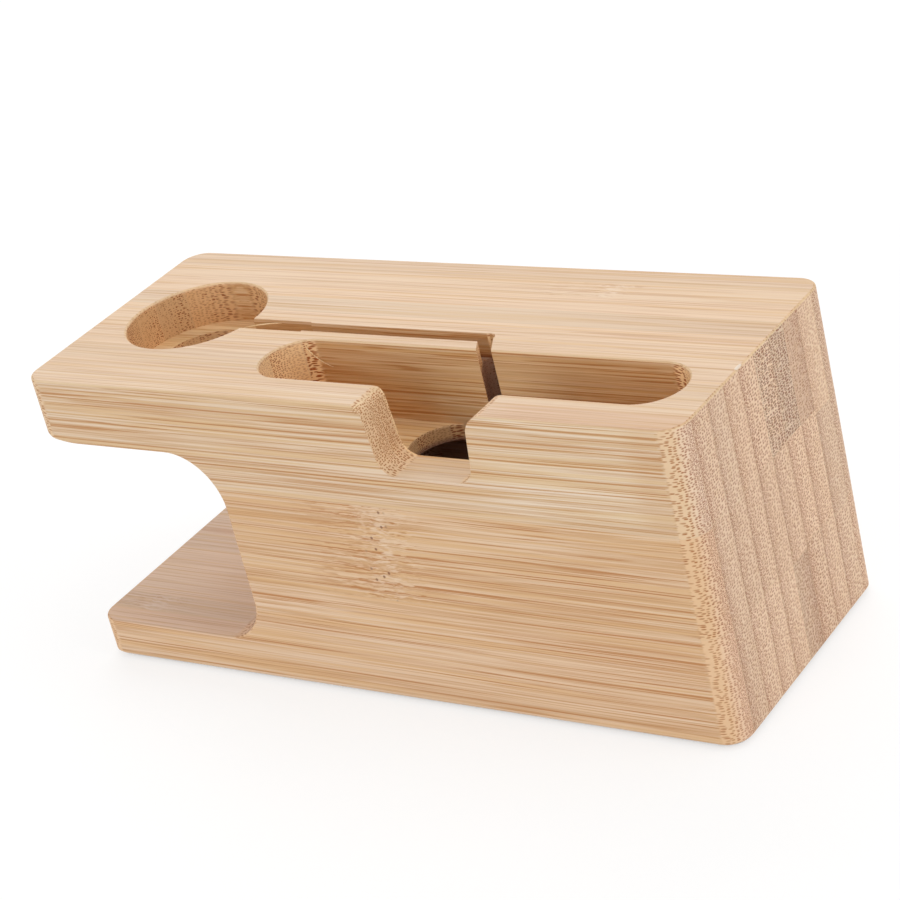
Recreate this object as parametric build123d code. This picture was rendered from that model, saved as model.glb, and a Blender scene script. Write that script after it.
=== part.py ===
from build123d import *
import math
import os

# A bamboo charging stand for a phone and a watch, milled from one glued block.
# Millimetres. X runs from the watch arm (left) to the solid end (right), Y from
# the front face to the rear face, Z up. The origin is on the table, under the
# middle of the block. Sizes below are set along these three directions.

# Bamboo strips: ten layers from front to rear, three rows from bottom to top.
# The front layer was planed thinner than the others when the block was sized.
front_layer_thickness = 5.0
layer_count = 10
strip_height = 21.65
row_names = ("base", "middle", "top")

# No two layers were glued at quite the same height, so each joint wanders by
# a share of the strip height. The tables read from the front layer to the rear.
lower_joint_shares = (0.05, -0.02, 0.01, 0.03, -0.01, -0.02, 0.02, 0.0, -0.03, 0.02)
upper_joint_shares = (0.01, 0.03, -0.02, 0.0, 0.02, 0.02, 0.03, 0.02, -0.02, 0.01)

# Layers, counted from zero at the front, that each hole takes right through
cavity_layers = (2, 3, 4)
plug_hole_layers = (2, 3, 4)
push_hole_layers = (4, 5, 6)

# Outside of the block. Its left end was sawn out of square and leans out at the foot.
corner_radius = 4.75
arris_radius = 0.5
rim_chamfer = 0.3
foot_chamfer = 0.5
end_lean = 0.55

# Open gap under the watch arm, as deep as the wall beside the phone slot leaves it
arm_thickness = 14.05
base_thickness = 8.5
web_wall = 6.25
arm_root_radius = 12.0
base_root_radius = 9.5

# The arm's underside curves up a little towards its tip
tip_reach = 10.0
tip_rise = 2.0

# Seat for the watch's charging disc, with a hole to push the disc out from below
disc_radius = 14.33
disc_clearance = 0.5
disc_seat_depth = 8.8
disc_ledge_width = 4.63
seat_end_wall = 6.97
seat_front_wall = 16.2

# Slot that the phone stands in, and the walls that it leaves round itself
slot_length = 92.83
slot_width = 15.6
slot_depth = 16.35
slot_seat_wall = 13.72
slot_end_wall = 6.82
slot_front_wall = 8.45
slot_rear_wall = 34.95
slot_floor_thickness = 3.4

# Notch through the slot's front wall, for a thumb; a low sill stays in its foot.
# The width is that of the foot, and the flanks open from it by the draft, in degrees.
notch_width = 20.3
notch_draft = 6.0
notch_sill = 1.9
notch_root_radius = 4.0
notch_left_radius = 2.3
notch_right_radius = 4.2
notch_shift = 1.91

# Hole in the slot's floor for the plug, the cavity under it and its way out
plug_hole_length = 28.0
cavity_length = 50.0
cavity_reach = 1.0
cavity_corner_radius = 6.0
outlet_width = 14.0
outlet_height = 9.0
outlet_radius = 3.0

# Groove in the top for the disc's cable, its wide start and its slanted last leg
groove_width = 3.25
groove_depth = 5.15
groove_wall = 3.15
relief_width = 4.15
relief_length = 14.82
elbow_radius = 1.8
elbow_lead = 2.4
leg_width = 3.05
mouth_shift = 1.35

# Round non-slip pads under the block
pad_radius = 4.5
pad_thickness = 1.0
pad_side_inset = 14.0
pad_face_inset = 10.0
pad_chamfer = 0.25

# Every cutter runs past the face that it opens by this much
overrun = 2.0

seat_radius = disc_radius + disc_clearance
push_hole_radius = seat_radius - disc_ledge_width
seat_x = seat_end_wall + seat_radius
seat_y = seat_front_wall + seat_radius

slot_start = seat_x + seat_radius + slot_seat_wall
slot_x = slot_start + slot_length / 2
slot_y = slot_front_wall + slot_width / 2
slot_back = slot_front_wall + slot_width
gap_depth = slot_start - web_wall

block_length = slot_start + slot_length + slot_end_wall
block_depth = slot_back + slot_rear_wall
block_height = len(row_names) * strip_height
layer_thickness = (block_depth - front_layer_thickness) / (layer_count - 1)

arm_underside = block_height - arm_thickness
tip_radius = (tip_reach**2 + tip_rise**2) / (2 * tip_rise)
tip_top = arm_underside + 2 * tip_rise
seat_floor = block_height - disc_seat_depth
slot_floor = block_height - slot_depth
notch_floor = slot_floor + notch_sill
notch_x = slot_x - notch_shift

groove_y = slot_back + groove_wall + groove_width / 2
groove_back = groove_y + groove_width / 2
groove_floor = block_height - groove_depth
mouth_x = notch_x + mouth_shift
elbow_x = mouth_x - elbow_lead
relief_end = seat_x + seat_radius + relief_length

cavity_roof = slot_floor - slot_floor_thickness
cavity_width = groove_back + cavity_reach - slot_front_wall
cavity_y = slot_front_wall + cavity_width / 2


def upright(profile, x, y, low, high):
    """A flat profile stood at a place and raised from one height to another."""
    return extrude(Pos(x, y, low) * profile, high - low)


def through_depth(profile, front, rear):
    """A profile drawn in X and Z, carried straight back from one depth to another."""
    return extrude(Plane.XZ.offset(-front) * profile, front - rear)


def window(left, right, low, high):
    """A plain rectangle between two places in X and two heights."""
    middle = Pos((left + right) / 2, (low + high) / 2)
    return middle * Rectangle(right - left, high - low)


def rim_edges(solid, x, y, reach_x, reach_y):
    """The edges of the top face that lie round one opening."""
    top_edges = solid.edges().filter_by_position(Axis.Z, block_height, block_height)
    return [
        edge
        for edge in top_edges
        if abs(edge.center().X - x) <= reach_x and abs(edge.center().Y - y) <= reach_y
    ]


def blank():
    """The glued block: rounded upright corners, a soft arris above, a plain one below."""
    foot = ((-end_lean, 0), (block_length, 0))
    top = ((block_length, block_height), (0, block_height))
    body = through_depth(Polygon(*foot, *top, align=None), 0, block_depth)
    corners = [edge for edge in body.edges() if abs(edge.tangent_at(0).Z) > 1 / 2]
    body = fillet(corners, corner_radius)
    body = fillet(body.edges().group_by(Axis.Z)[-1], arris_radius)
    return chamfer(body.edges().group_by(Axis.Z)[0], foot_chamfer)


def arm_gap():
    """The gap under the arm: a large sweep into each root, and a rise at the tip."""
    outline = window(-overrun, gap_depth, base_thickness, arm_underside)
    inner = outline.vertices().group_by(Axis.X)[-1].sort_by(Axis.Y)
    outline = fillet(inner[-1], arm_root_radius)
    inner = outline.vertices().group_by(Axis.Y)[0].sort_by(Axis.X)
    outline = fillet(inner[-1], base_root_radius)
    outline += window(-overrun, tip_reach, arm_underside, tip_top)
    outline -= Pos(tip_reach, arm_underside + tip_radius) * Circle(tip_radius)
    return through_depth(outline, -overrun, block_depth + overrun)


def gap_edges(solid):
    """The sharp edges that the gap leaves on the faces it breaks through."""
    found = []
    for edge in solid.edges():
        place = edge.center()
        inside = place.X < gap_depth and base_thickness <= place.Z <= tip_top
        flat = edge.geom_type == GeomType.LINE and abs(edge.tangent_at(0).Y) > 1 / 2
        on_end = place.X <= arris_radius
        if inside and (on_end or not flat):
            found.append(edge)
    return found


def notch():
    """The notch: flanks that close in going down, round roots, and mouth corners that
    roll over into the top, the right one more widely than the left."""
    draft = math.radians(notch_draft)
    foot = notch_width / 2
    above = block_height + overrun
    brow = foot + (above - notch_floor) * math.tan(draft)
    corners = ((-foot, notch_floor), (foot, notch_floor), (brow, above), (-brow, above))
    profile = Polygon(*corners, align=None)
    profile = fillet(profile.vertices().group_by(Axis.Y)[0], notch_root_radius)
    for side, radius in ((-1, notch_left_radius), (1, notch_right_radius)):
        roll = block_height - radius
        flank = foot + (roll - notch_floor) * math.tan(draft)
        shoulder = side * (flank + radius / math.cos(draft))
        start = roll + radius * math.sin(draft)
        mouth = window(min(0, shoulder), max(0, shoulder), start, above)
        profile += mouth - Pos(shoulder, roll) * Circle(radius)
    return through_depth(Pos(notch_x, 0) * profile, -overrun, slot_y)


def cable_groove():
    """The groove from the disc seat to the slot's rear wall, and the drop, which carries
    its slanted last leg on down to the cavity."""
    run_x = elbow_x - seat_x
    run = Pos(seat_x + run_x / 2, groove_y) * Rectangle(run_x, groove_width)
    relief_run = relief_end - seat_x
    run += Pos(seat_x + relief_run / 2, groove_y) * Rectangle(relief_run, relief_width)

    fall = groove_y - slot_back
    turn = math.degrees(math.atan2(-fall, elbow_lead))
    slant = math.hypot(fall, elbow_lead) + (slot_back - slot_y) / 2
    leg = Circle(elbow_radius) + Pos(slant / 2, 0) * Rectangle(slant, leg_width)
    leg = Pos(elbow_x, groove_y) * Rot(0, 0, turn) * leg
    groove = upright(run + leg, 0, 0, groove_floor, block_height + overrun)
    return groove + upright(leg, 0, 0, cavity_roof, groove_floor + overrun)


def under_cavity():
    """The hollow under the slot, the plug hole in its roof and its way out behind."""
    plan = RectangleRounded(cavity_length, cavity_width, cavity_corner_radius)
    hollow = upright(plan, notch_x, cavity_y, -overrun, cavity_roof)
    hole = SlotOverall(plug_hole_length, slot_width)
    hollow += upright(hole, notch_x, slot_y, cavity_roof - overrun, slot_floor + overrun)
    half = outlet_width / 2
    outlet = window(notch_x - half, notch_x + half, -overrun, outlet_height)
    outlet = fillet(outlet.vertices().group_by(Axis.Y)[-1], outlet_radius)
    return hollow + through_depth(outlet, cavity_y, block_depth + overrun)


def milled_block():
    """The whole block after every cut, before it is told apart into strips."""
    body = blank() - arm_gap()
    body = fillet(gap_edges(body), arris_radius)

    slot = SlotOverall(slot_length, slot_width)
    body -= upright(slot, slot_x, slot_y, slot_floor, block_height + overrun)
    body = chamfer(rim_edges(body, slot_x, slot_y, slot_length / 2, slot_width / 2), rim_chamfer)

    seat = Circle(seat_radius)
    body -= upright(seat, seat_x, seat_y, seat_floor, block_height + overrun)
    body = chamfer(rim_edges(body, seat_x, seat_y, seat_radius, seat_radius), rim_chamfer)
    push_hole = Circle(push_hole_radius)
    body -= upright(push_hole, seat_x, seat_y, arm_underside - overrun, seat_floor + overrun)

    return body - cable_groove() - notch() - under_cavity()


def layer_span(layer):
    """Where a layer starts and ends in Y; the outer two run past the block."""
    front = front_layer_thickness + (layer - 1) * layer_thickness if layer else -overrun
    last = layer == layer_count - 1
    rear = front_layer_thickness + layer * layer_thickness
    return front, rear + overrun if last else rear


def row_span(row, layer):
    """Where a row starts and ends in Z in one layer, with that layer's own joints."""
    lower = strip_height * (1 + lower_joint_shares[layer])
    upper = strip_height * (2 + upper_joint_shares[layer])
    heights = (-overrun, lower, upper, block_height + overrun)
    return heights[row], heights[row + 1]


def right_of(line):
    """All of the block to the right of a line of places in X and Y, rear to front."""
    far = block_length + overrun
    front = ((line[-1][0], -overrun), (far, -overrun))
    rear = ((far, block_depth + overrun), (line[0][0], block_depth + overrun))
    plan = Polygon(*front, *rear, *line, align=None)
    return upright(plan, 0, 0, -overrun, block_height + overrun)


def dividers(row, layer):
    """What parts a strip that a hollow cuts through. The strip's ends are pieces of
    their own, and they stay so where a narrower hollow only parts them."""
    past_drop = right_of(((elbow_x, groove_y), (mouth_x, slot_back)))
    if row_names[row] != "top":
        return [past_drop] if layer in cavity_layers else []
    found = [right_of(((seat_x, seat_y),))] if layer in push_hole_layers else []
    return found + [past_drop] if layer in plug_hole_layers else found


def strips(body):
    """Every strip of the milled block, by name, in the block's own place."""
    found = {}
    ends = {1: ("",), 2: ("_left", "_right"), 3: ("_left", "_middle", "_right")}
    for row, row_name in enumerate(row_names):
        for layer in range(layer_count):
            slab = window(-overrun, block_length + overrun, *row_span(row, layer))
            parts = [body & through_depth(slab, *layer_span(layer))]
            for past in dividers(row, layer):
                whole = parts.pop()
                parts += [whole - past, whole & past]
            for end, part in zip(ends[len(parts)], parts):
                found[f"{row_name}_strip_{layer + 1:02d}{end}"] = part.solids()
    return found


def pads():
    """Four stick-on pads, clear of the cavity and of the outlet."""
    found = {}
    for side, x in (("left", pad_side_inset), ("right", block_length - pad_side_inset)):
        for face, y in (("front", pad_face_inset), ("rear", block_depth - pad_face_inset)):
            disc = upright(Circle(pad_radius), x, y, -pad_thickness, 0)
            rim = disc.edges().group_by(Axis.Z)[0]
            found[f"pad_{face}_{side}"] = [chamfer(rim, pad_chamfer).solid()]
    return found


def save():
    """One file per piece, with the origin moved to the table under the middle."""
    body = milled_block()
    stand = Pos((end_lean - block_length) / 2, -block_depth / 2, pad_thickness)
    for name, pieces in {**strips(body), **pads()}.items():
        placed = [stand * piece for piece in pieces]
        shape = placed[0] if len(placed) == 1 else Compound(children=placed)
        export_step(shape, f"parts/{name}.step")


os.makedirs("parts", exist_ok=True)
save()
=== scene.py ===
import math
import random

import bpy
import numpy as np
from mathutils import Matrix, Vector


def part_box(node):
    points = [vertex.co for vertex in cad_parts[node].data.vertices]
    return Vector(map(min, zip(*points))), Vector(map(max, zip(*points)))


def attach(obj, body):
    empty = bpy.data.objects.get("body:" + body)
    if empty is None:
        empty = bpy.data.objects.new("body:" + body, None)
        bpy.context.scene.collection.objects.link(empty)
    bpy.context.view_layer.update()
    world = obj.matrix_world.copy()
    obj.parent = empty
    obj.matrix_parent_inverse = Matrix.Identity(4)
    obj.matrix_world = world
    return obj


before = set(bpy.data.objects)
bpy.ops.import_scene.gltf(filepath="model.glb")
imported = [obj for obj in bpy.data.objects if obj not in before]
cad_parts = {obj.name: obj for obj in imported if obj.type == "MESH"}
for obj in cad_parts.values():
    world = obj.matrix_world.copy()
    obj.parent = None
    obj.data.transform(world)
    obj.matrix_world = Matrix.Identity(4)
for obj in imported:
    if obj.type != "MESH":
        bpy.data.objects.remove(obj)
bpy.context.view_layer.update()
print("frame:", len(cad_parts), "nodes")

# camera

shot = {
    "place": (0.29232, -0.36186, 0.26772),  # metres
    "azimuth": 38.584,  # degrees round the stand, 0 looks along +Y
    "elevation": 26.193,
    "roll": 14.236,  # the camera was held askew, so the horizon climbs to the right
    "lens": 105.61,  # mm
    "sensor": 36.0,  # mm
    "clip": (0.02, 20.0),  # metres
}


def makeCamera(shot):
    data = bpy.data.cameras.new("camera")
    data.lens, data.sensor_width = shot["lens"], shot["sensor"]
    data.clip_start, data.clip_end = shot["clip"]
    camera = bpy.data.objects.new("camera", data)
    bpy.context.collection.objects.link(camera)
    turn = Matrix.Rotation(math.radians(shot["azimuth"]), 4, "Z")
    tilt = Matrix.Rotation(math.radians(90 - shot["elevation"]), 4, "X")
    roll = Matrix.Rotation(math.radians(-shot["roll"]), 4, "Z")
    camera.matrix_world = Matrix.Translation(shot["place"]) @ turn @ tilt @ roll
    bpy.context.scene.camera = camera


makeCamera(shot)
bpy.context.scene.view_settings.view_transform = "Standard"
print("camera placed")

# short ways to build nodes

mmPerMetre = 1000


def addNode(tree, kind, inputs, **settings):
    # inputs: socket name or number -> a value, or another node's output
    node = tree.nodes.new("ShaderNode" + kind)
    for name, value in settings.items():
        setattr(node, name, value)
    for key, value in inputs.items():
        if isinstance(value, bpy.types.NodeSocket):
            tree.links.new(value, node.inputs[key])
        else:
            node.inputs[key].default_value = value
    return node


def calc(tree, operation, a, b=0.0, c=0.0):
    return addNode(tree, "Math", {0: a, 1: b, 2: c}, operation=operation).outputs[0]


def calcVector(tree, operation, a, b):
    return addNode(tree, "VectorMath", {0: a, 1: b}, operation=operation).outputs[0]


def rise(tree, value, start, end, low=0.0, high=1.0):
    # low before start, high after end, a smooth step between
    inputs = {"Value": value, "From Min": start, "From Max": end, "To Min": low, "To Max": high}
    return addNode(tree, "MapRange", inputs, interpolation_type="SMOOTHSTEP").outputs["Result"]


def blend(tree, factor, a, b):
    return addNode(tree, "Mix", {0: factor, 2: a, 3: b}).outputs[0]


def blendColour(tree, factor, a, b, how="MIX"):
    return addNode(tree, "Mix", {0: factor, 6: a, 7: b}, data_type="RGBA", blend_type=how).outputs[2]


def product(tree, first, *others):
    for other in others:
        first = calc(tree, "MULTIPLY", first, other)
    return first


def flip(tree, value):
    # 1 where value is 0, and 0 where it is 1
    return calc(tree, "SUBTRACT", 1.0, value)


def apart(tree, a, b):
    return calc(tree, "ABSOLUTE", calc(tree, "SUBTRACT", a, b))


def noise(tree, vector, stretch, detail=2.0, roughness=0.5):
    # stretch is how often the noise changes in a unit of X, Y and Z
    stretched = calcVector(tree, "MULTIPLY", vector, stretch)
    inputs = {"Vector": stretched, "Scale": 1.0, "Detail": detail, "Roughness": roughness}
    return addNode(tree, "TexNoise", inputs, noise_dimensions="3D").outputs


def shareBy(tree, mask, shares):
    # the first share where mask is 0, the second where it is 1
    return rise(tree, mask, 0.0, 1.0, *shares)


def sway(tree, value, wave, reach):
    # value moved by a wave of 0 to 1, up to half of reach either way
    return calc(tree, "ADD", value, calc(tree, "MULTIPLY_ADD", wave, reach, -reach / 2))


def cellPlace(tree, first, second, wide, tall):
    # two coordinates counted in cells of a given width and height
    inputs = {0: calc(tree, "DIVIDE", first, wide), 1: calc(tree, "DIVIDE", second, tall)}
    return addNode(tree, "CombineXYZ", inputs).outputs[0]


def farFrom(tree, place, middle, half):
    # 0 in the middle of a round spot, 1 at its rim
    reach = calcVector(tree, "DIVIDE", calcVector(tree, "SUBTRACT", place, middle), half)
    return addNode(tree, "VectorMath", {0: reach}, operation="LENGTH").outputs["Value"]


def newGroup(name, inputs, outputs):
    # inputs and outputs: label -> kind of socket
    tree = bpy.data.node_groups.new(name, "ShaderNodeTree")
    for way, sockets in (("INPUT", inputs), ("OUTPUT", outputs)):
        for label, kind in sockets.items():
            tree.interface.new_socket(label, in_out=way, socket_type="NodeSocket" + kind)
    start = tree.nodes.new("NodeGroupInput")
    end = tree.nodes.new("NodeGroupOutput")
    return tree, start.outputs, end.inputs


def newMaterial(name):
    material = bpy.data.materials.new(name)
    material.use_nodes = True
    tree = material.node_tree
    return material, tree, tree.nodes["Principled BSDF"]


def finishMaterial(tree, shader, colour, roughness, bump=None):
    tree.links.new(colour, shader.inputs["Base Color"])
    tree.links.new(roughness, shader.inputs["Roughness"])
    if bump:
        tree.links.new(addNode(tree, "Bump", bump).outputs[0], shader.inputs["Normal"])


# bamboo

bamboo = {
    # Where something begins, ends or changes, the numbers are what rise() takes:
    # start and end, and then, where they are not 0 and 1, the values there.
    "flat": (0.5, 0.9),  # how far a surface looks up or down

    # fibre bundles
    "wander": (0, 1.6, 1.6),  # mm that all the fibres of a strip drift sideways together
    "ownWander": (0, 0.3, 0.3),  # mm that one bundle drifts by itself
    "knotWander": (0, 1.1, 1.1),  # mm that fibres bend at a knuckle
    "bundleSpread": 0.62,  # how far the bundles stand out of line, 0 to 1
    "bundleShape": (1.2, 0.86),  # shares of the pitch, in Y and in Z
    "finePitch": 0.68,  # share of the pitch, on the dense outer side of a strip
    "sparseDot": (0.4, 0.18),  # shares of the pitch, from a dot's rim to its heart
    "denseDot": (0.46, 0.184),
    "denseRipple": 0.4,  # shares of a strip's thickness by which its dense side and its last band vary
    "edgeRipple": 0.16,
    "closeFrom": (0.5, 0.8),  # shares of a strip's thickness, from its inner side
    "edgeFrom": (0.8, 0.95),

    # noises: changes in a mm of X, Y and Z, octaves, roughness
    "driftNoise": ((0.011, 0.04, 0.04), 1),
    "ownNoise": ((0.05, 0.9, 0.9), 1),
    "knotNoise": ((0.3, 0.8, 0.8), 2),
    "raggedNoise": ((0.25, 0.35, 0.35), 2),
    "rippleNoise": ((0.1, 0.3, 0.3), 2),
    "fineNoise": ((0.02, 2.8, 2.8), 3, 0.6),
    "bandNoise": ((0.008, 0.4, 0.4), 2),
    "dashNoise": ((0.03, 0.8, 0.8), 2),
    "lineNoise": ((0.01, 2.4, 2.4), 2),
    "strawNoise": ((0.015, 0.9, 0.9), 2),
    "burntNoise": ((0.045, 2.1, 2.1), 2),
    "mottleNoise": ((0.2, 0.6, 0.6), 3, 0.6),
    "brokenNoise": ((0.05, 0.4, 2.6), 2),
    "knuckleDashNoise": ((0.26, 3.6, 3.6), 1),
    "fleckNoise": ((0.3, 2.3, 2.3), 2, 0.6),

    # sides
    "tan": (0.67, 0.42, 0.22, 1),
    "pale": (0.84, 0.62, 0.42, 1),
    "straw": (0.78, 0.52, 0.275, 1),
    "palest": (0.88, 0.70, 0.53, 1),
    "streak": (0.52, 0.225, 0.065, 1),
    "fineShare": 0.7,  # of fine fibres in the tone, the rest is bands
    "lyingSheen": 0.07,  # how much paler the faces are that lie flat: a painted sheen
    "paleFrom": (0.38, 0.62),
    "strawFrom": (0.46, 0.62, 0.0, 0.75),
    "palestFrom": (0.44, 0.34),
    "palestShare": (0.6, 0.25),  # on upright and on lying faces
    "streakFrom": (0.55, 0.12, 0.0, 0.85),  # shares of the pitch from a bundle's heart
    "streakSpread": (0.7, 0.25),  # what a bundle's own colour adds to its streak, and the least
    "dashFrom": (0.40, 0.60, 0.1, 1.0),
    "lineFrom": (0.565, 0.645),
    "streakShare": (0.9, 0.45),  # on upright and on lying faces
    "burntFrom": (0.55, 0.68, 0.0, 0.85),

    # corners and sawn ends
    "endGrain": (0.1, 0.22),  # how squarely a surface cuts the fibres where dots take over
    "squareEnd": (0.55, 0.98),
    "corner": (0.85, 0.59, 0.355, 1),
    "cornerDot": (0.44, 0.16, 0.04, 1),
    "cornerExtra": 0.35,  # how much darker the dots are on corners
    "sawn": (0.86, 0.59, 0.40, 1),
    "sawnDense": (0.70, 0.43, 0.285, 1),
    "sawnEdge": (0.46, 0.215, 0.115, 1),
    "sawnPale": (0.96, 0.745, 0.545, 1),
    "sawnDot": (0.36, 0.115, 0.05, 1),
    "scorchedDot": (0.33, 0.085, 0.015, 1),
    "denseTone": (0.3, 1.0, 0.0, 0.5),
    "edgeShare": 0.5,
    "betweenFrom": (0.36, 0.6, 0.0, 0.65),  # the pale net between the dots, in shares of the pitch
    "betweenLoss": -0.6,  # what the darkest parts take off it
    "mottleFrom": (0.4, 0.7),
    "mottleShare": (0.3, 0.22),  # on corners and on sawn ends
    "dotSpread": (0.4, 0.6),  # what a bundle's own colour adds to its dot, and the least
    "dotDarkness": (0.0, 0.9, 0.75, 1.1),
    "scorchDarkness": (0.2, 0.9, -0.1, 0.45),  # how much darker the dots are in the hollows

    # dark patch of ticks on the sawn ends of a few strips
    "patchDark": (0.25, 0.07, 0.018, 1),
    "patchShare": 0.9,
    "rows": (1.15, 0.5),  # mm, a tick in Y and in Z
    "rowSpread": 0.8,  # how far the ticks stand out of line, 0 to 1
    "rowShare": 0.92,
    "rowFrom": (0.2, 0.06),
    "brokenFrom": (0.56, 0.65),

    # knuckles
    "knuckleRagged": 4.0,  # mm
    "knuckleReach": (1.0, 0.45),  # shares of its width
    "knotReach": (3.2, 0.6),  # the same, for the fibres that bend round it
    "dashesFrom": (2.0, -1.5),  # mm beside the knuckle
    "dashesTo": (-20.0, -10.0),
    "dashShare": (0.6, 0.35),  # on upright and on lying faces
    "knuckleDashFrom": (0.55, 0.63),
    "fleckFrom": (0.5, 0.62),
    "fleckShare": 0.7,
    "pit": (0.25, 0.10, 0.04, 1),
    "pitPitch": 3.7,  # mm
    "pitFrom": (0.11, 0.05),  # shares of that pitch
    "pitShare": (0.4, 0.0, 0.0, 0.85),  # none on lying faces

    # glue, painted highlights on the top edges and on a nick, and torn fibres with painted shade in their
    # furrows
    "glue": (0.80, 0.58, 0.37, 1),
    "glueFrom": (0.16, 0.04, 0.0, 0.5),  # mm from a joint
    # painted highlight on the rounded top edges, where surfaces are neither upright nor flat
    "rim": (0.86, 0.63, 0.37, 1),
    "rimSlope": ((0.3, 0.5), (0.95, 0.85)),  # neither upright nor flat
    "rimFrom": (65.35, 65.5, 0.0, 0.6),  # mm above the table
    # a pale spot on the right top edge's nick: a painted highlight
    "nickHighlight": (0.90, 0.77, 0.64, 1),
    "chip": ((74.9, -5.6, 65.9), (0.45, 1.6, 0.4)),  # mm: place and half size of the right top edge's nick
    "chipRagged": 0.8,
    "chipFrom": (1.3, 1.0),
    # the furrows of the torn fibres: their dark tone is painted shade in the gouges
    "gougeShade": (0.46, 0.19, 0.05, 1),
    "torn": ((7.75, -28.8, 65.1), (1.15, 1.05, 1.2)),  # mm: the same of the notch's torn left mouth
    "tornFrom": (1.0, 0.7, 0.0, 0.7),
    "furrowTurn": (9.0, -7.0),  # radians in a mm of X and of Z
    "furrowFrom": (0.1, 0.7),

    # places, in mm, and the tints that the colour is multiplied by there
    "outerEnds": (69.5, 71.0),  # from the middle
    "blockFrom": (-29.6, -28.6),  # in X, with the arm to the left
    "milledBlock": 44.0,  # above the table, what the hollows of the block and of the arm stay over
    "milledArm": 52.4,
    "milledFrom": (0.0, 1.5),  # above those
    "milledTop": (65.6, 65.1),
    "milledY": (21.8, 21.3),  # from the middle
    "milledX": (69.4, 69.0),
    # painted shade on the hollows' side walls and seat ends, painted light on the slot's ends and the floors
    "hollowSideShade": (0.91, 0.85, 0.72, 1),
    "hollowSeatEndShade": (0.85, 0.77, 0.64, 1),
    "hollowSlotEndLight": (1.16, 1.20, 1.14, 1),
    "hollowFloorLight": (1.06, 1.03, 0.87, 1),
    "slotFloor": (49.0, 49.7),
    "topShade": (0.93, 0.91, 0.90, 1),  # the top, darkened: painted shade
    "topFace": (65.6, 65.8),
    "warmTop": (0.90, 0.80, 0.73, 1),  # the front top strip towards the right, seen from above
    "paleFront": (1.06, 1.13, 1.21, 1),  # the same strip seen from the front
    "frontStrip": (-23.5, -24.5),
    "towardsRight": (24.0, 44.0),
    "beforeCorner": (68.0, 62.0),
    "topRow": (44.6, 47.0),
    "facingFront": (-0.6, -0.9),
    "sill": (0.93, 0.93, 0.92, 1),  # the notch's floor, darkened: painted shade
    "sillFrom": (44.0, 46.0),
    "sillTo": (62.0, 60.0),
    "shadeUnderArm": (0.79, 0.76, 0.79, 1),  # the base's top, darkened under the arm: painted shade
    "footTo": (12.5, 11.0),
    "deepShade": (0.52, 0.48, 0.62, 1),  # painted shade in the cavity, the drop and the outlet
    "cavity": ((20.13, -9.55), (25.2, 11.7), 46.3),  # middle, half size, roof
    "drop": ((20.0, -1.9), (6.0, 3.3), 60.6),
    "outlet": ((20.13, 15.0), (7.3, 14.0), 10.3),
    "deepShadeFade": (0.1, 1.2),  # how the painted shade fades, at the walls and over the roof
    "outletFade": (26.0, 3.0),  # in Y

    "roughness": (0.18, 0.42),  # what the fine fibres add, and the least
    "endRoughness": 0.1,
    "fineRelief": 0.7,
    "dotRelief": -0.5,
    "pitRelief": -2.0,
    "bump": {"Strength": 0.25, "Distance": 0.0001},  # metres
}


def readSurface(tree, given):
    # where a point lies, in mm, and which way its surface looks, along X and Z either way
    source = addNode(tree, "TexCoord", {}).outputs
    place = calcVector(tree, "MULTIPLY", source["Object"], (mmPerMetre,) * 3)
    x, y, z = addNode(tree, "SeparateXYZ", {0: place}).outputs
    facingX, facingY, facingZ = addNode(tree, "SeparateXYZ", {0: source["Normal"]}).outputs
    fromMiddle = calc(tree, "ABSOLUTE", x)
    alongX = calc(tree, "ABSOLUTE", facingX)
    alongZ = calc(tree, "ABSOLUTE", facingZ)
    return {
        "place": place, "x": x, "y": y, "z": z, "fromMiddle": fromMiddle,
        "shifted": calcVector(tree, "ADD", place, given["Shift"]),
        "facingY": facingY, "alongZ": alongZ,
        "endGrain": rise(tree, alongX, *bamboo["endGrain"]),
        "lying": rise(tree, alongZ, *bamboo["flat"]),
        "skyward": rise(tree, facingZ, *bamboo["flat"]),
        "sawn": product(tree, rise(tree, fromMiddle, *bamboo["outerEnds"]),
                        rise(tree, alongX, *bamboo["squareEnd"])),
    }


def findHollows(tree, spot):
    # inside is 1 in the hollows that were milled into the block and the arm from above
    overBlock = rise(tree, spot["x"], *bamboo["blockFrom"])
    step = bamboo["milledBlock"] - bamboo["milledArm"]
    lowest = calc(tree, "MULTIPLY_ADD", overBlock, step, bamboo["milledArm"])
    inside = product(tree,
                     rise(tree, calc(tree, "SUBTRACT", spot["z"], lowest), *bamboo["milledFrom"]),
                     rise(tree, spot["z"], *bamboo["milledTop"]),
                     rise(tree, calc(tree, "ABSOLUTE", spot["y"]), *bamboo["milledY"]),
                     rise(tree, spot["fromMiddle"], *bamboo["milledX"]))
    return {"overBlock": overBlock, "inside": inside}


def drift(tree, vector, settings, reach):
    middle = (0.5, 0.5, 0.5)  # of the noise's range
    centred = calcVector(tree, "SUBTRACT", noise(tree, vector, *settings)["Color"], middle)
    return calcVector(tree, "MULTIPLY", centred, reach)


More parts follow.
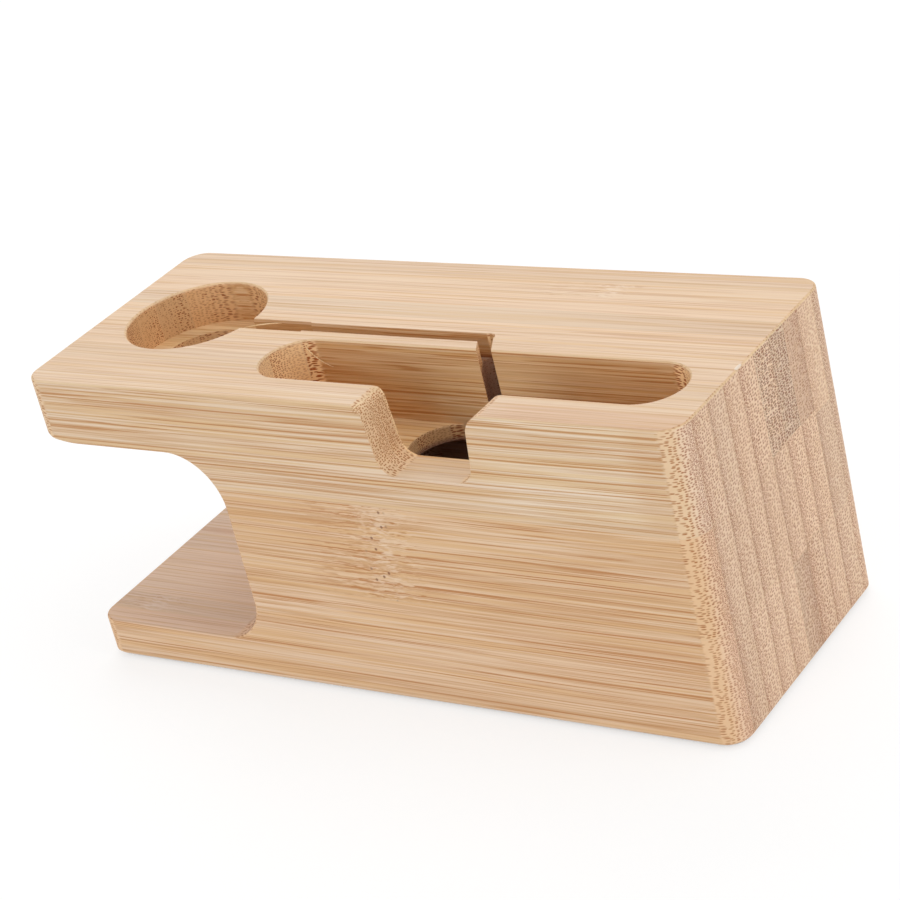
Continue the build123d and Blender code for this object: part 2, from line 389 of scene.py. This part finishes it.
def layFibres(tree, given, spot):
    # straight follows all the fibres of a strip, acrossY and acrossZ each bundle,
    # and all of them bend round the culm's knuckle
    shifted = spot["shifted"]
    ragged = noise(tree, shifted, *bamboo["raggedNoise"])["Fac"]
    fromKnuckle = calc(tree, "SUBTRACT", spot["x"], given["Knuckle"])
    fromKnuckle = sway(tree, fromKnuckle, ragged, bamboo["knuckleRagged"])
    reach = calc(tree, "DIVIDE", calc(tree, "ABSOLUTE", fromKnuckle), given["Knuckle Width"])
    knot = drift(tree, shifted, bamboo["knotNoise"], bamboo["knotWander"])
    bend = {0: knot, "Scale": rise(tree, reach, *bamboo["knotReach"])}
    knotted = addNode(tree, "VectorMath", bend, operation="SCALE").outputs[0]
    slow = drift(tree, shifted, bamboo["driftNoise"], bamboo["wander"])
    straight = calcVector(tree, "ADD", calcVector(tree, "ADD", shifted, slow), knotted)
    own = drift(tree, shifted, bamboo["ownNoise"], bamboo["ownWander"])
    across = {0: calcVector(tree, "ADD", straight, own)}
    acrossY, acrossZ = addNode(tree, "SeparateXYZ", across).outputs[1:]
    return {
        "fromKnuckle": fromKnuckle, "knuckle": rise(tree, reach, *bamboo["knuckleReach"]),
        "straight": straight, "acrossY": acrossY, "acrossZ": acrossZ,
        "fine": noise(tree, straight, *bamboo["fineNoise"])["Fac"],
        "mottle": noise(tree, shifted, *bamboo["mottleNoise"])["Fac"],
    }


def findDenseSide(tree, given, spot):
    # dense is 0 on the strip's pale inner side and 1 on its outer side, where edge is the last band
    depth = calc(tree, "SUBTRACT", spot["y"], given["Dense At"])
    inputs = {0: depth, 1: given["Thickness"]}
    depth = addNode(tree, "Math", inputs, operation="DIVIDE", use_clamp=True).outputs[0]
    outer = flip(tree, depth)
    ripple = noise(tree, spot["shifted"], *bamboo["rippleNoise"])["Fac"]
    edge = rise(tree, sway(tree, outer, ripple, bamboo["edgeRipple"]), *bamboo["edgeFrom"])
    return {
        "dense": sway(tree, outer, ripple, bamboo["denseRipple"]),
        "edge": product(tree, edge, given["Edge"]),
    }


def bundleCells(tree, spot, pitch, dot):
    # one fibre bundle a cell: how far from its heart, in pitches, its dot, and a shade of its own
    wide, tall = (calc(tree, "MULTIPLY", pitch, share) for share in bamboo["bundleShape"])
    cell = cellPlace(tree, spot["acrossY"], spot["acrossZ"], wide, tall)
    inputs = {"Vector": cell, "Scale": 1.0, "Randomness": bamboo["bundleSpread"]}
    found = addNode(tree, "TexVoronoi", inputs, voronoi_dimensions="2D", feature="F1").outputs
    own = addNode(tree, "SeparateColor", {0: found["Color"]}).outputs
    strength = calc(tree, "MULTIPLY_ADD", own["Green"], *bamboo["dotSpread"])
    return found["Distance"], product(tree, rise(tree, found["Distance"], *dot), strength), own["Red"]


def layBundles(tree, given, spot):
    # wide apart on the inner side, close together on the outer side and in the hollows
    finePitch = calc(tree, "MULTIPLY", given["Pitch"], bamboo["finePitch"])
    farWide, wideDots, ownShade = bundleCells(tree, spot, given["Pitch"], bamboo["sparseDot"])
    farClose, closeDots = bundleCells(tree, spot, finePitch, bamboo["denseDot"])[:2]
    close = calc(tree, "MAXIMUM", rise(tree, spot["dense"], *bamboo["closeFrom"]), spot["inside"])
    return {
        "farWide": farWide, "ownShade": ownShade,
        "farFromAny": blend(tree, close, farWide, farClose),
        "dots": blend(tree, close, wideDots, closeDots),
    }


def sideColour(tree, spot):
    # long streaks, with shorter dark ones where the cutter went
    lying = spot["lying"]
    bands = noise(tree, spot["straight"], *bamboo["bandNoise"])["Fac"]
    tone = calc(tree, "ADD", product(tree, spot["fine"], bamboo["fineShare"]),
                product(tree, bands, 1 - bamboo["fineShare"]))
    # faces that lie flat get a paler tone: a painted sheen
    tone = calc(tree, "MULTIPLY_ADD", lying, bamboo["lyingSheen"], tone)
    side = blendColour(tree, rise(tree, tone, *bamboo["paleFrom"]), bamboo["tan"], bamboo["pale"])
    straws = noise(tree, spot["straight"], *bamboo["strawNoise"])["Fac"]
    side = blendColour(tree, rise(tree, straws, *bamboo["strawFrom"]), side, bamboo["straw"])
    lines = noise(tree, spot["straight"], *bamboo["lineNoise"])["Fac"]
    palest = product(tree, rise(tree, lines, *bamboo["palestFrom"]),
                     shareBy(tree, lying, bamboo["palestShare"]))
    side = blendColour(tree, palest, side, bamboo["palest"])

    dashes = noise(tree, spot["straight"], *bamboo["dashNoise"])["Fac"]
    streak = product(tree, rise(tree, spot["farWide"], *bamboo["streakFrom"]),
                     rise(tree, dashes, *bamboo["dashFrom"]),
                     calc(tree, "MULTIPLY_ADD", spot["ownShade"], *bamboo["streakSpread"]))
    streak = calc(tree, "MAXIMUM", streak, rise(tree, lines, *bamboo["lineFrom"]))
    streak = product(tree, streak, shareBy(tree, lying, bamboo["streakShare"]))
    burnt = noise(tree, spot["straight"], *bamboo["burntNoise"])["Fac"]
    burnt = product(tree, rise(tree, burnt, *bamboo["burntFrom"]), spot["inside"])
    return blendColour(tree, calc(tree, "MAXIMUM", streak, burnt), side, bamboo["streak"])


def patchRows(tree, given, spot):
    # pale lines between the ticks of the dark patch
    cell = cellPlace(tree, spot["acrossY"], spot["acrossZ"], *bamboo["rows"])
    inputs = {"Vector": cell, "Scale": 1.0, "Randomness": bamboo["rowSpread"]}
    found = addNode(tree, "TexVoronoi", inputs, voronoi_dimensions="2D",
                    feature="DISTANCE_TO_EDGE").outputs
    broken = noise(tree, spot["straight"], *bamboo["brokenNoise"])["Fac"]
    rows = calc(tree, "MAXIMUM", rise(tree, found["Distance"], *bamboo["rowFrom"]),
                rise(tree, broken, *bamboo["brokenFrom"]))
    return product(tree, rows, given["Patch"])


def sawnGround(tree, given, spot, rows):
    # what lies between the dots on the sawn ends
    denser = rise(tree, spot["dense"], *bamboo["denseTone"])
    dark = product(tree, spot["edge"], bamboo["edgeShare"])
    inPatch = product(tree, given["Patch"], bamboo["patchShare"])
    ground = blendColour(tree, denser, bamboo["sawn"], bamboo["sawnDense"])
    ground = blendColour(tree, dark, ground, bamboo["sawnEdge"])
    ground = blendColour(tree, inPatch, ground, bamboo["patchDark"])
    darkest = calc(tree, "MAXIMUM", dark, given["Patch"])
    between = product(tree, rise(tree, spot["farFromAny"], *bamboo["betweenFrom"]),
                      calc(tree, "MULTIPLY_ADD", darkest, bamboo["betweenLoss"], 1.0))
    between = calc(tree, "MAXIMUM", between, product(tree, rows, bamboo["rowShare"]))
    return blendColour(tree, between, ground, bamboo["sawnPale"])


def endColour(tree, given, spot, rows, dots):
    # ends and corners: dots on a mottled ground
    sawn, inside, dense = spot["sawn"], spot["inside"], spot["dense"]
    ground = blendColour(tree, sawn, bamboo["corner"], sawnGround(tree, given, spot, rows))
    mottled = product(tree, rise(tree, spot["mottle"], *bamboo["mottleFrom"]),
                      shareBy(tree, sawn, bamboo["mottleShare"]))
    ground = blendColour(tree, mottled, ground, bamboo["straw"])
    dot = blendColour(tree, sawn, bamboo["cornerDot"], bamboo["sawnDot"])
    dot = blendColour(tree, inside, dot, bamboo["scorchedDot"])
    deeper = product(tree, inside, rise(tree, dense, *bamboo["scorchDarkness"]))
    onCorner = product(tree, flip(tree, sawn), flip(tree, inside))
    deeper = calc(tree, "MULTIPLY_ADD", onCorner, bamboo["cornerExtra"], deeper)
    strength = product(tree, given["Darkness"], rise(tree, dense, *bamboo["dotDarkness"]),
                       calc(tree, "ADD", deeper, 1.0))
    return blendColour(tree, product(tree, dots, strength), ground, dot)


def addKnuckle(tree, spot, colour):
    # short dashes to its left, pale flecks and small pits in it
    dash = noise(tree, spot["shifted"], *bamboo["knuckleDashNoise"])["Fac"]
    dash = product(tree, rise(tree, dash, *bamboo["knuckleDashFrom"]),
                   rise(tree, spot["fromKnuckle"], *bamboo["dashesFrom"]),
                   rise(tree, spot["fromKnuckle"], *bamboo["dashesTo"]),
                   shareBy(tree, spot["lying"], bamboo["dashShare"]))
    colour = blendColour(tree, dash, colour, bamboo["streak"])
    fleck = noise(tree, spot["shifted"], *bamboo["fleckNoise"])["Fac"]
    fleck = product(tree, rise(tree, fleck, *bamboo["fleckFrom"]), spot["knuckle"], bamboo["fleckShare"])
    colour = blendColour(tree, fleck, colour, bamboo["palest"])
    cell = cellPlace(tree, spot["x"], spot["z"], bamboo["pitPitch"], bamboo["pitPitch"])
    pits = addNode(tree, "TexVoronoi", {"Vector": cell, "Scale": 1.0}, voronoi_dimensions="2D").outputs
    pit = product(tree, rise(tree, pits["Distance"], *bamboo["pitFrom"]), spot["knuckle"],
                  rise(tree, spot["lying"], *bamboo["pitShare"]))
    return blendColour(tree, pit, colour, bamboo["pit"]), pit


def addGlue(tree, given, spot, colour):
    # a line at the nearest of the strip's four sides
    sides = (("y", "Front"), ("y", "Rear"), ("z", "Low"), ("z", "High"))
    away = [apart(tree, spot[axis], given[side]) for axis, side in sides]
    nearest = away[0]
    for other in away[1:]:
        nearest = calc(tree, "MINIMUM", nearest, other)
    return blendColour(tree, rise(tree, nearest, *bamboo["glueFrom"]), colour, bamboo["glue"])


def addEdgeHighlights(tree, spot, colour):
    # painted highlights along the rounded edges round the top, and a painted highlight on a nick in one of
    # them
    rim = product(tree, *(rise(tree, spot["alongZ"], *ends) for ends in bamboo["rimSlope"]),
                  rise(tree, spot["z"], *bamboo["rimFrom"]))
    colour = blendColour(tree, rim, colour, bamboo["rim"])
    # the nick's pale spot: a painted highlight
    chip = calc(tree, "ADD", farFrom(tree, spot["place"], *bamboo["chip"]),
                product(tree, spot["mottle"], bamboo["chipRagged"]))
    return blendColour(tree, rise(tree, chip, *bamboo["chipFrom"]), colour, bamboo["nickHighlight"])


def addTornFibres(tree, spot, colour):
    # slanting furrows at the notch's left mouth, darkened with painted shade in their gouges: a sine over X
    # and Z, within a round spot
    turnX, turnZ = bamboo["furrowTurn"]
    wave = calc(tree, "ADD", product(tree, spot["x"], turnX), product(tree, spot["z"], turnZ))
    within = farFrom(tree, spot["place"], *bamboo["torn"])
    gougeShade = product(tree, rise(tree, calc(tree, "SINE", wave), *bamboo["furrowFrom"]),
                     rise(tree, within, *bamboo["tornFrom"]))
    return blendColour(tree, gougeShade, colour, bamboo["gougeShade"])


def inBox(tree, spot, middle, half, roof):
    # 1 in an upright box below its roof, 0 outside
    atWalls, overRoof = bamboo["deepShadeFade"]
    return product(tree, rise(tree, apart(tree, spot["x"], middle[0]), half[0], half[0] - atWalls),
                   rise(tree, apart(tree, spot["y"], middle[1]), half[1], half[1] - atWalls),
                   rise(tree, spot["z"], roof + overRoof, roof))


def addTints(tree, spot, colour):
    # each tint is multiplied in as far as its mask goes
    x, y, z, inside, skyward = (spot[key] for key in ("x", "y", "z", "inside", "skyward"))

    # painted shade and painted light in the hollows milled from above: the side walls and the seat's ends
    # darker, the slot's ends lighter, the floors lighter and warmer
    overFloor = product(tree, spot["overBlock"], rise(tree, z, *bamboo["slotFloor"]))
    milled = blendColour(tree, overFloor, bamboo["hollowSeatEndShade"], bamboo["hollowSlotEndLight"])
    milled = blendColour(tree, spot["endGrain"], bamboo["hollowSideShade"], milled)
    milled = blendColour(tree, spot["lying"], milled, bamboo["hollowFloorLight"])

    onTop = product(tree, skyward, rise(tree, z, *bamboo["topFace"]))
    onFrontStrip = product(tree, rise(tree, x, *bamboo["towardsRight"]),
                           rise(tree, y, *bamboo["frontStrip"]))
    inFront = product(tree, onFrontStrip, rise(tree, x, *bamboo["beforeCorner"]),
                      rise(tree, z, *bamboo["topRow"]),
                      rise(tree, spot["facingY"], *bamboo["facingFront"]))
    onSill = product(tree, skyward, rise(tree, z, *bamboo["sillTo"]),
                     calc(tree, "SUBTRACT", rise(tree, z, *bamboo["sillFrom"]), inside))
    onFoot = product(tree, skyward, rise(tree, z, *bamboo["footTo"]))
    inOutlet = product(tree, inBox(tree, spot, *bamboo["outlet"]), rise(tree, y, *bamboo["outletFade"]))
    deep = calc(tree, "MAXIMUM", inBox(tree, spot, *bamboo["cavity"]), inBox(tree, spot, *bamboo["drop"]))
    deep = calc(tree, "MAXIMUM", deep, inOutlet)
    tints = [
        (inside, milled),
        # the top darkened: painted shade
        (onTop, bamboo["topShade"]),
        (product(tree, onTop, onFrontStrip), bamboo["warmTop"]),
        (inFront, bamboo["paleFront"]),
        # the notch's floor darkened: painted shade
        (onSill, bamboo["sill"]),
        # the base's top under the arm darkened: painted shade
        (onFoot, bamboo["shadeUnderArm"]),
        # the cavity, the drop and the outlet darkened: painted shade
        (deep, bamboo["deepShade"]),
    ]
    for mask, tint in tints:
        colour = blendColour(tree, mask, colour, tint, "MULTIPLY")
    return colour


def stripGroup():
    # Fibre bundles run along X. Across them they are cells in Y and Z, so one pattern
    # gives dots on the ends, dashes round the corners and streaks along the sides.
    # Front, Rear, Low and High are the strip's four planes, in mm.
    numbers = ["Front", "Rear", "Low", "High", "Dense At", "Thickness", "Edge", "Patch", "Pitch",
               "Darkness", "Knuckle", "Knuckle Width"]
    inputs = {label: "Float" for label in numbers} | {"Shift": "Vector", "Tint": "Color"}
    outputs = {"Colour": "Color", "Roughness": "Float", "Height": "Float"}
    tree, given, out = newGroup("bambooStrip", inputs, outputs)
    spot = readSurface(tree, given)
    spot |= findHollows(tree, spot)
    spot |= layFibres(tree, given, spot)
    spot |= findDenseSide(tree, given, spot)
    spot |= layBundles(tree, given, spot)
    rows = patchRows(tree, given, spot)
    dots = product(tree, spot["dots"], flip(tree, rows))

    end = endColour(tree, given, spot, rows, dots)
    colour = blendColour(tree, spot["endGrain"], sideColour(tree, spot), end)
    colour, pit = addKnuckle(tree, spot, colour)
    colour = addGlue(tree, given, spot, colour)
    colour = addEdgeHighlights(tree, spot, colour)
    colour = addTornFibres(tree, spot, colour)
    colour = addTints(tree, spot, colour)
    tree.links.new(blendColour(tree, 1.0, colour, given["Tint"], "MULTIPLY"), out["Colour"])

    rough = calc(tree, "MULTIPLY_ADD", spot["fine"], *bamboo["roughness"])
    rough = calc(tree, "MULTIPLY_ADD", spot["endGrain"], bamboo["endRoughness"], rough)
    tree.links.new(rough, out["Roughness"])
    height = product(tree, spot["fine"], bamboo["fineRelief"])
    height = calc(tree, "MULTIPLY_ADD", dots, bamboo["dotRelief"], height)
    height = calc(tree, "MULTIPLY_ADD", pit, bamboo["pitRelief"], height)
    tree.links.new(height, out["Height"])
    return tree


def bambooMaterial(name, group, values):
    material, tree, shader = newMaterial(name)
    grain = tree.nodes.new("ShaderNodeGroup")
    grain.node_tree = group
    for label, value in values.items():
        grain.inputs[label].default_value = value
    bump = {"Height": grain.outputs["Height"], **bamboo["bump"]}
    finishMaterial(tree, shader, grain.outputs["Colour"], grain.outputs["Roughness"], bump)
    return material


def splitName(name):
    # "top_strip_05_right" -> row "top" and layer 5
    words = name.split("_")
    return words[0], int(words[2])


layup = {
    "beyond": 50.0,  # mm by which the outer strips' outer planes are moved out, so no glue shows there
    "denseRear": [("top", 6), ("top", 7), ("top", 8), ("base", 6)],  # strips whose outer side faces the rear
    "faintEdges": {("top", 9): 0.3, ("top", 10): 0.1, ("middle", 10): 0.2, ("base", 10): 0.2},
    "patches": {("top", 6): 1.0, ("top", 7): 0.95, ("top", 8): 0.55, ("base", 6): 0.3},  # how dark
    "pitch": 0.66,  # mm from bundle to bundle
    "pitchSpread": (0.92, 1.08),  # shares of it
    "frontPitch": 0.54,
    "darkness": 0.82,  # of the dots
    "darknessSpread": (0.85, 1.2),
    "darkStrips": {("top", 6): 1.0, ("top", 7): 1.0, ("top", 8): 0.9, ("base", 6): 0.95, ("top", 9): 0.5},
    # mm: a knuckle's place in X and its width
    "knuckles": {("middle", 1): (4.8, 4.0), ("top", 9): (34.8, 2.6), ("base", 2): (-65.2, 4.0)},
    "noKnuckle": (900.0, 4.0),  # far beyond the stand
    "tints": {("top", 9): (1.05, 1.05, 1.04), ("top", 1): (1.05, 1.08, 1.12),
              ("middle", 1): (1.0, 0.95, 0.90), ("base", 1): (1.06, 1.02, 1.0)},
    "toneSpread": 0.045,  # how much lighter or darker a strip may be, and how much warmer or cooler
    "warmthSpread": 0.02,
    "shifts": (900, 90, 90),  # mm, up to which each strip's pattern is moved
    "seed": 7,
}


def stripPlanes(names):
    # each strip's four sides, from the boxes of the strips of its layer and row
    layers, rows = {}, {}
    for name in names:
        low, high = (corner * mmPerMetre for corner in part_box(name))
        row, layer = splitName(name)
        front, rear = layers.get(layer, (low.y, high.y))
        layers[layer] = min(front, low.y), max(rear, high.y)
        foot, head = rows.get((row, layer), (low.z, high.z))
        rows[row, layer] = min(foot, low.z), max(head, high.z)
    return layers, rows


def stripValues(key, layers, rows, draw):
    # what the strip group is told of one strip
    row, layer = key
    front, rear = layers[layer]
    foot, head = rows[key]
    beyond = layup["beyond"]
    denseAtRear = layer == 1 or key in layup["denseRear"]
    tone = 1 + layup["toneSpread"] * draw.uniform(-1, 1)
    warmth = draw.uniform(-layup["warmthSpread"], layup["warmthSpread"])
    shift = [draw.uniform(0, most) for most in layup["shifts"]]
    pitch = layup["frontPitch"] if layer == 1 else layup["pitch"] * draw.uniform(*layup["pitchSpread"])
    darkness = layup["darkness"] * draw.uniform(*layup["darknessSpread"])
    red, green, blue = layup["tints"].get(key, (1, 1, 1))
    knuckle, knuckleWidth = layup["knuckles"].get(key, layup["noKnuckle"])
    return {
        "Front": front - beyond * (layer == 1),
        "Rear": rear + beyond * (layer == len(layers)),
        "Low": foot - beyond * (row == "base"),
        "High": head + beyond * (row == "top"),
        "Dense At": rear if denseAtRear else front,
        "Thickness": front - rear if denseAtRear else rear - front,
        "Edge": layup["faintEdges"].get(key, float(layer > 1)),
        "Patch": layup["patches"].get(key, 0.0),
        "Shift": shift,
        "Pitch": pitch,
        "Darkness": layup["darkStrips"].get(key, darkness),
        "Tint": (tone * red, tone * (1 - warmth / 2) * green, tone * (1 - warmth) * blue, 1),
        "Knuckle": knuckle,
        "Knuckle Width": knuckleWidth,
    }


def dressStrips():
    group = stripGroup()
    names = sorted(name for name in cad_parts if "_strip_" in name)
    layers, rows = stripPlanes(names)
    draw = random.Random(layup["seed"])
    made = {}
    for name in names:
        row, layer = key = splitName(name)
        if key not in made:
            values = stripValues(key, layers, rows, draw)
            made[key] = bambooMaterial(f"bamboo_{row}_{layer:02d}", group, values)
        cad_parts[name].material_slots[0].material = made[key]
    print("bamboo:", len(names), "pieces,", len(made), "strips")


dressStrips()

# pads

rubber = {
    "grain": ((2600, 2600, 2600), 3, 0.6),  # as bamboo's noises, but changes in a metre
    "dark": (0.012, 0.012, 0.013, 1),
    "light": (0.045, 0.045, 0.047, 1),
    "lightFrom": (0.35, 0.7),
    "roughness": (0.3, 0.7, 0.62, 0.85),
    "bump": {"Strength": 0.4, "Distance": 0.0002},  # metres
}


def dressPads():
    material, tree, shader = newMaterial("pad_rubber")
    place = addNode(tree, "TexCoord", {}).outputs["Object"]
    grain = noise(tree, place, *rubber["grain"])["Fac"]
    colour = blendColour(tree, rise(tree, grain, *rubber["lightFrom"]), rubber["dark"], rubber["light"])
    roughness = rise(tree, grain, *rubber["roughness"])
    finishMaterial(tree, shader, colour, roughness, {"Height": grain, **rubber["bump"]})
    for name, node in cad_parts.items():
        if name.startswith("pad_"):
            node.material_slots[0].material = material
    print("pads dressed")


dressPads()

# splinters that the cutter left: one across the seat's mouth, one down the slot's wall
# and three short slivers at the notch's left mouth

splinters = {
    "shapes": {  # mm: points along it, root first, and its radius at the root, in the middle and at the tip
        "acrossSeat": {
            "points": [(-30.7, 1.05, 65.45), (-34.2, -0.5, 65.76), (-37.8, -2.2, 65.68)],
            "thickness": (0.05, 0.13, 0.05),
        },
        "downSlot": {
            "points": [(-20.6, -5.35, 65.45), (-20.3, -6.3, 65.2), (-19.7, -6.4, 64.6), (-18.9, -6.2, 63.3),
                       (-17.35, -6.1, 61.8), (-15.7, -6.0, 60.7), (-14.5, -5.9, 60.33)],
            "thickness": (0.06, 0.10, 0.03),
        },
        "notchUpper": {
            "points": [(7.3, -29.25, 65.48), (7.4, -28.7, 65.56), (7.55, -28.1, 65.52)],
            "thickness": (0.06, 0.10, 0.03),
        },
        "notchMiddle": {
            "points": [(7.75, -29.3, 65.08), (7.85, -28.75, 65.12), (7.95, -28.2, 65.05)],
            "thickness": (0.06, 0.10, 0.03),
        },
        "notchLower": {
            "points": [(8.08, -29.3, 64.62), (8.16, -28.9, 64.68), (8.2, -28.4, 64.62)],
            "thickness": (0.05, 0.09, 0.03),
        },
    },
    "steps": 48,  # rings along a splinter
    "sides": 12,
    "highestPower": 3,
    "streaks": ((300, 4000, 4000), 2, 0.6),  # as bamboo's noises, but changes in a metre
    "straw": (0.80, 0.53, 0.25, 1),
    "light": (0.94, 0.73, 0.45, 1),
    "lightFrom": (0.35, 0.65),
    "roughness": (0.3, 0.7, 0.45, 0.65),
}


def splinterMaterial():
    material, tree, shader = newMaterial("splinter")
    place = addNode(tree, "TexCoord", {}).outputs["Object"]
    streaks = noise(tree, place, *splinters["streaks"])["Fac"]
    lighter = rise(tree, streaks, *splinters["lightFrom"])
    colour = blendColour(tree, lighter, splinters["straw"], splinters["light"])
    finishMaterial(tree, shader, colour, rise(tree, streaks, *splinters["roughness"]))
    return material


def splinterSurface(points, thickness):
    # A curve c(u) along the points: a polynomial of one power less than their number, at most a cubic.
    # Surface: c(u) + r(u) * (cos(v) * n(u) + sin(v) * b(u)), with r through root, middle and tip.
    places = np.array(points) / mmPerMetre
    lengths = np.linalg.norm(np.diff(places, axis=0), axis=1)
    at = np.concatenate([[0], np.cumsum(lengths)]) / lengths.sum()
    u = np.linspace(0, 1, splinters["steps"])
    power = min(splinters["highestPower"], len(points) - 1)
    centre = np.stack([np.polyval(np.polyfit(at, side, power), u) for side in places.T], axis=1)
    radii = np.array(thickness) / mmPerMetre
    radius = np.polyval(np.polyfit(np.linspace(0, 1, len(radii)), radii, len(radii) - 1), u)
    along = np.gradient(centre, axis=0)
    along /= np.linalg.norm(along, axis=1, keepdims=True)
    normal = np.cross(along, (0, 0, 1))
    normal /= np.linalg.norm(normal, axis=1, keepdims=True)
    other = np.cross(along, normal)
    v = np.linspace(0, 2 * np.pi, splinters["sides"], endpoint=False)
    ring = np.cos(v)[None, :, None] * normal[:, None] + np.sin(v)[None, :, None] * other[:, None]
    return centre[:, None] + radius[:, None, None] * ring


def tubeFaces(steps, sides):
    # quads between the rings, and a flat face at each end
    row, column = np.meshgrid(np.arange(steps - 1), np.arange(sides), indexing="ij")
    beside = (column + 1) % sides
    here, above = row * sides, (row + 1) * sides
    quads = np.stack([here + column, here + beside, above + beside, above + column], axis=-1)
    root = list(range(sides))[::-1]
    tip = list(range((steps - 1) * sides, steps * sides))
    return quads.reshape(-1, 4).tolist() + [root, tip]


def makeSplinters():
    material = splinterMaterial()
    for name, shape in splinters["shapes"].items():
        vertices = splinterSurface(**shape).reshape(-1, 3)
        mesh = bpy.data.meshes.new("splinter_" + name)
        mesh.from_pydata(vertices.tolist(), [], tubeFaces(splinters["steps"], splinters["sides"]))
        mesh.shade_smooth()
        mesh.materials.append(material)
        piece = bpy.data.objects.new("splinter_" + name, mesh)
        bpy.context.collection.objects.link(piece)
        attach(piece, "root")
    print("splinters:", len(splinters["shapes"]))


makeSplinters()

# studio

studio = {
    "floorSize": 8.0,  # metres
    "floorColour": (0.36, 0.36, 0.36, 1),  # as the camera sees it
    "floorBounce": (0.82, 0.82, 0.82, 1),  # for the light that it throws back at the stand
    "floorGlow": 0.7,
    "coveredWithin": 0.06,  # metres: the floor has no glow where the stand hides the sky this near
    "openFrom": (0.03, 0.15),  # share of the sky that is not hidden
    "openSamples": 8,
    "skyLight": 0.5,  # strength of the sky as a light, and the camera sees it at 1
    "lamps": {  # direction from the stand in degrees, distance and width in metres, watts
        "backSoftbox": {"azimuth": 215, "elevation": 38, "distance": 1.5, "width": 1.5, "power": 7.5},
        "topSoftbox": {"azimuth": 120, "elevation": 75, "distance": 1.6, "width": 1.0, "power": 3.2},
        "frontFill": {"azimuth": -5, "elevation": 14, "distance": 1.6, "width": 1.2, "power": 7.0},
        "rightFill": {"azimuth": 95, "elevation": 32, "distance": 1.6, "width": 1.0, "power": 5.0},
    },
    "aim": (0, 0, 0.03),  # metres
}


def seenOrMirrored(tree):
    # 1 for what the camera sees straight, in a mirror or through glass
    path = addNode(tree, "LightPath", {}).outputs
    seen = calc(tree, "MAXIMUM", path["Is Camera Ray"], path["Is Glossy Ray"])
    return calc(tree, "MAXIMUM", seen, path["Is Transmission Ray"])


def makeWorld():
    world = bpy.data.worlds.new("sky")
    world.use_nodes = True
    bpy.context.scene.world = world
    tree = world.node_tree
    strength = calc(tree, "MULTIPLY_ADD", seenOrMirrored(tree), 1 - studio["skyLight"], studio["skyLight"])
    tree.links.new(strength, tree.nodes["Background"].inputs["Strength"])
    tree.nodes["Background"].inputs["Color"].default_value = (1, 1, 1, 1)


def floorMaterial():
    material = bpy.data.materials.new("floorPaper")
    material.use_nodes = True
    tree = material.node_tree
    tree.nodes.clear()

    # the camera sees grey paper that glows up to white, less where the stand covers it
    paper = addNode(tree, "BsdfDiffuse", {"Color": studio["floorColour"]}).outputs[0]
    cover = {"Distance": studio["coveredWithin"]}
    sky = addNode(tree, "AmbientOcclusion", cover, samples=studio["openSamples"]).outputs["AO"]
    glow = rise(tree, sky, *studio["openFrom"], 0.0, studio["floorGlow"])
    glow = addNode(tree, "Emission", {"Strength": glow}).outputs[0]
    seen = addNode(tree, "AddShader", {0: paper, 1: glow}).outputs[0]
    bounce = addNode(tree, "BsdfDiffuse", {"Color": studio["floorBounce"]}).outputs[0]
    above = addNode(tree, "MixShader", {0: seenOrMirrored(tree), 1: bounce, 2: seen}).outputs[0]

    # seen from below the floor is clear, and lets the light through that comes from there
    passed = addNode(tree, "LightPath", {}).outputs["Transparent Depth"]
    below = calc(tree, "MAXIMUM", addNode(tree, "NewGeometry", {}).outputs["Backfacing"],
                 calc(tree, "GREATER_THAN", passed, 0.0))
    clear = addNode(tree, "BsdfTransparent", {}).outputs[0]
    floor = addNode(tree, "MixShader", {0: below, 1: above, 2: clear}).outputs[0]
    addNode(tree, "OutputMaterial", {"Surface": floor})
    return material


def makeFloor():
    half = studio["floorSize"] / 2
    corners = [(-half, -half, 0), (half, -half, 0), (half, half, 0), (-half, half, 0)]
    mesh = bpy.data.meshes.new("floor")
    mesh.from_pydata(corners, [], [(0, 1, 2, 3)])
    mesh.materials.append(floorMaterial())
    floor = bpy.data.objects.new("floor", mesh)
    bpy.context.collection.objects.link(floor)


def makeLamp(name, lamp):
    data = bpy.data.lights.new(name, "AREA")
    data.shape, data.size, data.energy = "DISK", lamp["width"], lamp["power"]
    around, above = math.radians(lamp["azimuth"]), math.radians(lamp["elevation"])
    away = Vector((math.sin(around) * math.cos(above), -math.cos(around) * math.cos(above), math.sin(above)))
    place = Matrix.Translation(Vector(studio["aim"]) + away * lamp["distance"])
    made = bpy.data.objects.new(name, data)
    made.matrix_world = place @ away.to_track_quat("Z", "Y").to_matrix().to_4x4()
    bpy.context.collection.objects.link(made)


makeWorld()
makeFloor()
for name, lamp in studio["lamps"].items():
    makeLamp(name, lamp)
print("studio lit")
